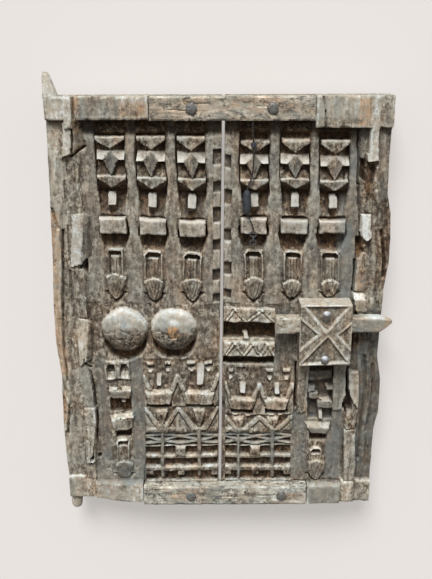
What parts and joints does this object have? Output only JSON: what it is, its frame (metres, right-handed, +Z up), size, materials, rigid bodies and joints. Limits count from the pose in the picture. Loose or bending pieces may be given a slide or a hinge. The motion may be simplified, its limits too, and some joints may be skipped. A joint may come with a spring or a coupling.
{
  "type": "granary door",
  "caption": "Carved wooden granary door leaf of planks, battens and iron spikes, with integral pivots and a sliding bolt lock.",
  "frame": {"origin": "on the pivot axis at the shoulder of the lower pivot, where the leaf stands on its socket", "axes": "+Z up along the pivot axis, -Y out of the carved front, +X across the leaf from the pivot side to the lock side"},
  "size_m": [0.626, 0.09, 0.852],
  "materials": {
    "plank_wood": "weathered, adze-cut hardwood with grey crests and dark brown recesses",
    "batten_wood": "weathered grey-tan wood",
    "lock_wood": "smooth worn carved wood",
    "forged_iron": "dark forged iron, dull",
    "link_iron": "dark iron wire",
    "cord_leather": "blackened twisted leather thong",
    "charm_leather": "blackened wrapped leather"
  },
  "bodies": {
    "root": {"left_plank": "plank_wood", "right_plank": "plank_wood", "top_batten": "batten_wood", "bottom_batten": "batten_wood", "spike_top_left": "forged_iron", "spike_top_right": "forged_iron", "spike_bottom_left": "forged_iron", "spike_bottom_right": "forged_iron", "lock_case": "lock_wood", "lock_spike_upper": "forged_iron", "lock_spike_lower": "forged_iron", "cord": "cord_leather", "cord_bead": "charm_leather", "cord_ring": "link_iron", "charm": "charm_leather", "link_1": "link_iron", "link_2": "link_iron", "link_3": "link_iron"},
    "bolt": {"lock_bolt": "lock_wood"},
    "tumbler_a": {"tumbler_1": "forged_iron"},
    "tumbler_b": {"tumbler_2": "forged_iron"},
    "tumbler_c": {"tumbler_3": "forged_iron"}
  },
  "joints": [
    {"name": "bolt_slide", "type": "slide", "parent": "root", "child": "bolt", "axis": [1, 0, 0], "range_m": [-0.045, 0.008]},
    {"name": "tumbler_1_lift", "type": "slide", "parent": "root", "child": "tumbler_a", "axis": [0, 0, 1], "range_m": [0, 0.009]},
    {"name": "tumbler_2_lift", "type": "slide", "parent": "root", "child": "tumbler_b", "axis": [0, 0, 1], "range_m": [0, 0.009]},
    {"name": "tumbler_3_lift", "type": "slide", "parent": "root", "child": "tumbler_c", "axis": [0, 0, 1], "range_m": [0, 0.009]}
  ]
}
